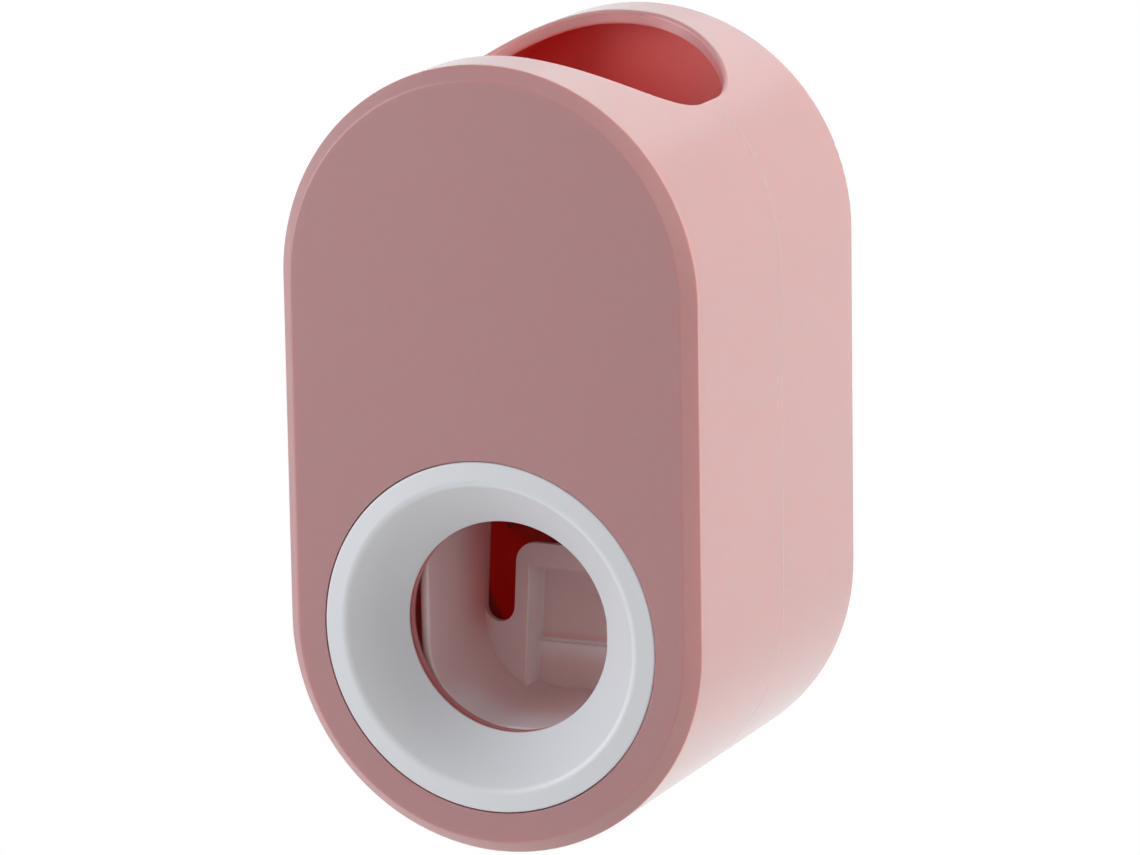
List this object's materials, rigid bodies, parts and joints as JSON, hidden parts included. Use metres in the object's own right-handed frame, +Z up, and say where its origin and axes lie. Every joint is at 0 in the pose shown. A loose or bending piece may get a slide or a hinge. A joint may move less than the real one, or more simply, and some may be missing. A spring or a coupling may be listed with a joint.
{
  "type": "toothpaste dispenser",
  "caption": "Wall-hung toothpaste dispenser: obround two-part shell with a tube opening in the crown and a white funnel whose push cup drives a piston pump.",
  "frame": {"origin": "middle of the wall pad's outer face, where it meets the wall", "axes": "+X right for someone facing the dispenser, +Y into the wall, +Z up"},
  "size_m": [0.063, 0.0616, 0.1124],
  "materials": {
    "pink_shell": "gloss",
    "ring_white": "satin",
    "core_white": "satin",
    "silicone": "matte",
    "steel": "satin",
    "spring_steel": "satin",
    "plate_white": "satin",
    "pad_foam": "matte"
  },
  "bodies": {
    "bracket": {"wall_plate": "plate_white", "adhesive_pad": "pad_foam"},
    "housing": {"front_housing": "pink_shell", "rear_housing": "pink_shell", "funnel_ring": "ring_white", "pump_block": "core_white", "cylinder_plug": "core_white", "plug_seal": "silicone", "channel_cover": "core_white", "nozzle": "silicone", "inlet_valve": "silicone", "tube_seal": "silicone", "seal_collar": "ring_white", "pump_screws": "steel", "return_spring": "spring_steel"},
    "pusher": {"brush_cup": "core_white", "piston_yoke": "core_white", "piston": "core_white", "piston_seal": "silicone", "piston_screw": "steel"}
  },
  "joints": [
    {"name": "housing_lift", "type": "slide", "parent": "bracket", "child": "housing", "axis": [0, 0, 1], "range_m": [0, 0.011]},
    {"name": "cup_push", "type": "slide", "parent": "housing", "child": "pusher", "axis": [0, 1, 0], "range_m": [0, 0.012], "stiffness_N_per_m": 200, "springref_m": -0.008, "deforming": ["return_spring"]}
  ]
}
